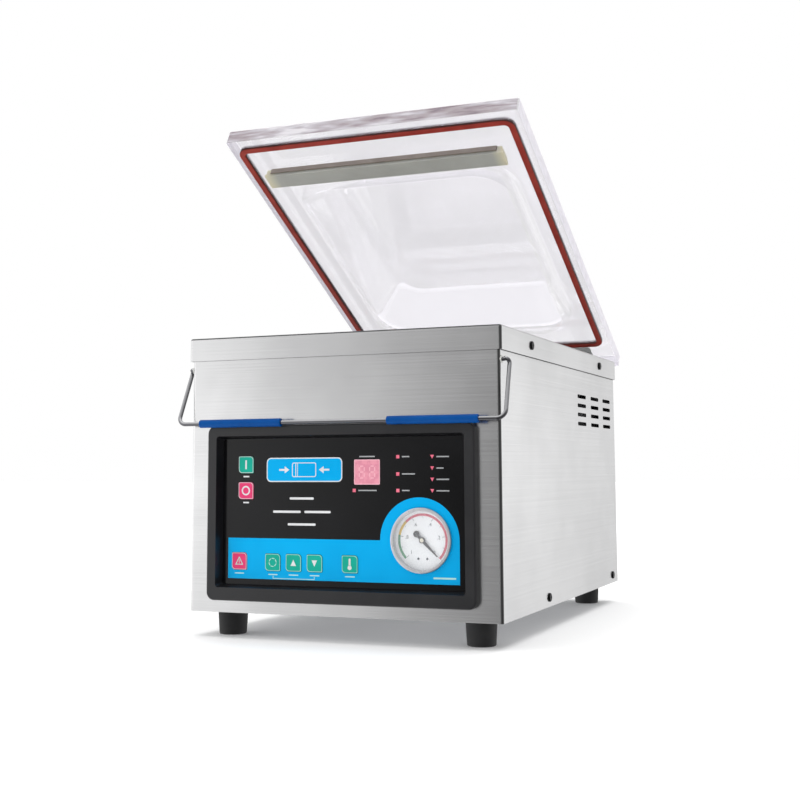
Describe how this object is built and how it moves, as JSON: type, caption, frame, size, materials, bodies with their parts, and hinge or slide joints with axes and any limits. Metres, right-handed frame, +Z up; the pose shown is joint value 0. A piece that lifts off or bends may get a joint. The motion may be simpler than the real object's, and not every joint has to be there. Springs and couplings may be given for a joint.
{
  "type": "vacuum packing machine",
  "caption": "Tabletop chamber vacuum sealer: stainless housing, clear domed lid on sprung hinges, wire hold-down bail, key panel with a vacuum gauge, lifting seal bar and inner pump.",
  "frame": {"origin": "on the table, centred under the machine with its lid open", "axes": "+X to the operator's right, +Y towards the rear, +Z up"},
  "size_m": [0.3454, 0.5135, 0.5268],
  "materials": {
    "stainless_panel": "brushed",
    "stainless_tray": "satin",
    "zinc_plate": "satin",
    "foot_rubber": "matt",
    "black_screw": "satin",
    "bezel_black": "fine texture",
    "overlay_print": "satin",
    "display_red": "gloss",
    "lamp_red": "gloss",
    "board_green": "satin",
    "switch_black": "matt",
    "gauge_chrome": "polished",
    "dial_white": "satin",
    "gauge_lens": "gloss",
    "needle_grey": "satin",
    "clear_acrylic": "gloss",
    "gasket_red": "satin",
    "counter_grey": "satin",
    "strip_brown": "satin",
    "hinge_steel": "satin",
    "screw_steel": "satin",
    "spring_steel": "satin",
    "bail_chrome": "polished",
    "grip_blue": "satin",
    "nylon_white": "satin",
    "bar_aluminium": "satin",
    "heating_strip": "bright",
    "nonstick_brown": "coated glass cloth",
    "post_brass": "satin",
    "bladder_rubber": "matt",
    "pump_iron": "cast",
    "case_aluminium": "cast",
    "motor_aluminium": "cast",
    "shaft_steel": "ground",
    "fan_plastic": "matt",
    "cover_black": "satin",
    "core_steel": "varnished",
    "coil_copper": "varnished",
    "valve_brass": "satin",
    "hose_rubber": "matt",
    "tube_clear": "gloss",
    "inlet_black": "satin",
    "key_green": "satin",
    "key_pink": "satin"
  },
  "bodies": {
    "housing": {"housing_wrap": "stainless_panel", "rear_panel": "stainless_panel", "base_plate": "zinc_plate", "top_cap": "stainless_panel", "vacuum_chamber": "stainless_tray", "rubber_feet": "foot_rubber", "machine_screws": "black_screw", "panel_bezel": "bezel_black", "control_overlay": "overlay_print", "display_window": "display_red", "indicator_lamps": "lamp_red", "control_board": "board_green", "key_switches": "switch_black", "gauge_case": "gauge_chrome", "gauge_dial": "dial_white", "gauge_glass": "gauge_lens", "hinge_brackets": "hinge_steel", "hinge_pins": "screw_steel", "hinge_springs": "spring_steel", "bail_bushes": "nylon_white", "seal_guide_posts": "post_brass", "seal_bladder": "bladder_rubber", "vacuum_port": "post_brass", "lid_switch_body": "switch_black", "pump_casing": "pump_iron", "pump_cover": "pump_iron", "pump_oil_case": "case_aluminium", "pump_mounts": "foot_rubber", "motor_housing": "motor_aluminium", "motor_fan_cover": "cover_black", "transformer_core": "core_steel", "transformer_coil": "coil_copper", "solenoid_valves": "valve_brass", "vacuum_hose": "hose_rubber", "air_tubes": "tube_clear", "power_inlet": "inlet_black"},
    "lid": {"lid_panel": "clear_acrylic", "lid_gasket": "gasket_red", "counter_bar": "counter_grey", "counter_strip": "strip_brown", "lid_hinge_leaves": "hinge_steel", "lid_screws": "screw_steel"},
    "bail": {"bail_wire": "bail_chrome", "bail_grips": "grip_blue"},
    "sealing_bar": {"seal_bar": "bar_aluminium", "seal_element": "heating_strip", "seal_cover": "nonstick_brown"},
    "motor_shaft": {"motor_rotor": "shaft_steel", "pump_rotor": "pump_iron", "cooling_fan": "fan_plastic"},
    "needle": {"gauge_needle": "needle_grey"},
    "lid_plunger": {"lid_switch_plunger": "nylon_white"},
    "key_on": {"key_on": "key_green"},
    "key_off": {"key_off": "key_pink"},
    "key_stop": {"key_stop": "key_pink"},
    "key_set": {"key_set": "key_green"},
    "key_up": {"key_up": "key_green"},
    "key_down": {"key_down": "key_green"},
    "key_temp": {"key_temp": "key_green"}
  },
  "joints": [
    {"name": "lid_hinge", "type": "hinge", "parent": "housing", "child": "lid", "pos_m": [0, 0.22745, 0.2712], "axis": [1, 0, 0], "range_deg": [0, 27.56], "stiffness_Nm_per_rad": 3.2, "springref_deg": -137.51, "deforming": ["hinge_springs"]},
    {"name": "bail_swing", "type": "hinge", "parent": "housing", "child": "bail", "pos_m": [0, -0.23705, 0.2622], "axis": [-1, 0, 0], "range_deg": [0, 174]},
    {"name": "seal_bar_lift", "type": "slide", "parent": "housing", "child": "sealing_bar", "axis": [0, 0, 1], "range_m": [0, 0.008], "deforming": ["seal_bladder"]},
    {"name": "motor_spin", "type": "hinge", "parent": "housing", "child": "motor_shaft", "pos_m": [0.06, -0.01055, 0.12], "axis": [0, 1, 0], "continuous": true},
    {"name": "needle_swing", "type": "hinge", "parent": "housing", "child": "needle", "pos_m": [0.083, -0.23505, 0.0965], "axis": [0, -1, 0], "range_deg": [0, 270], "stiffness_Nm_per_rad": 0.0002, "springref_deg": -34.38},
    {"name": "lid_switch_press", "type": "slide", "parent": "housing", "child": "lid_plunger", "axis": [0, 0, -1], "range_m": [0, 0.002]},
    {"name": "key_on_press", "type": "slide", "parent": "housing", "child": "key_on", "axis": [0, 1, 0], "range_m": [0, 0.0006], "stiffness_N_per_m": 1800, "springref_m": -0.0002},
    {"name": "key_off_press", "type": "slide", "parent": "housing", "child": "key_off", "axis": [0, 1, 0], "range_m": [0, 0.0006], "stiffness_N_per_m": 1800, "springref_m": -0.0002},
    {"name": "key_stop_press", "type": "slide", "parent": "housing", "child": "key_stop", "axis": [0, 1, 0], "range_m": [0, 0.0006], "stiffness_N_per_m": 1800, "springref_m": -0.0002},
    {"name": "key_set_press", "type": "slide", "parent": "housing", "child": "key_set", "axis": [0, 1, 0], "range_m": [0, 0.0006], "stiffness_N_per_m": 1800, "springref_m": -0.0002},
    {"name": "key_up_press", "type": "slide", "parent": "housing", "child": "key_up", "axis": [0, 1, 0], "range_m": [0, 0.0006], "stiffness_N_per_m": 1800, "springref_m": -0.0002},
    {"name": "key_down_press", "type": "slide", "parent": "housing", "child": "key_down", "axis": [0, 1, 0], "range_m": [0, 0.0006], "stiffness_N_per_m": 1800, "springref_m": -0.0002},
    {"name": "key_temp_press", "type": "slide", "parent": "housing", "child": "key_temp", "axis": [0, 1, 0], "range_m": [0, 0.0006], "stiffness_N_per_m": 1800, "springref_m": -0.0002}
  ],
  "couplings": [
    {"joint": "lid_switch_press", "follows": "lid_hinge", "m_per_rad": 0.00415}
  ]
}
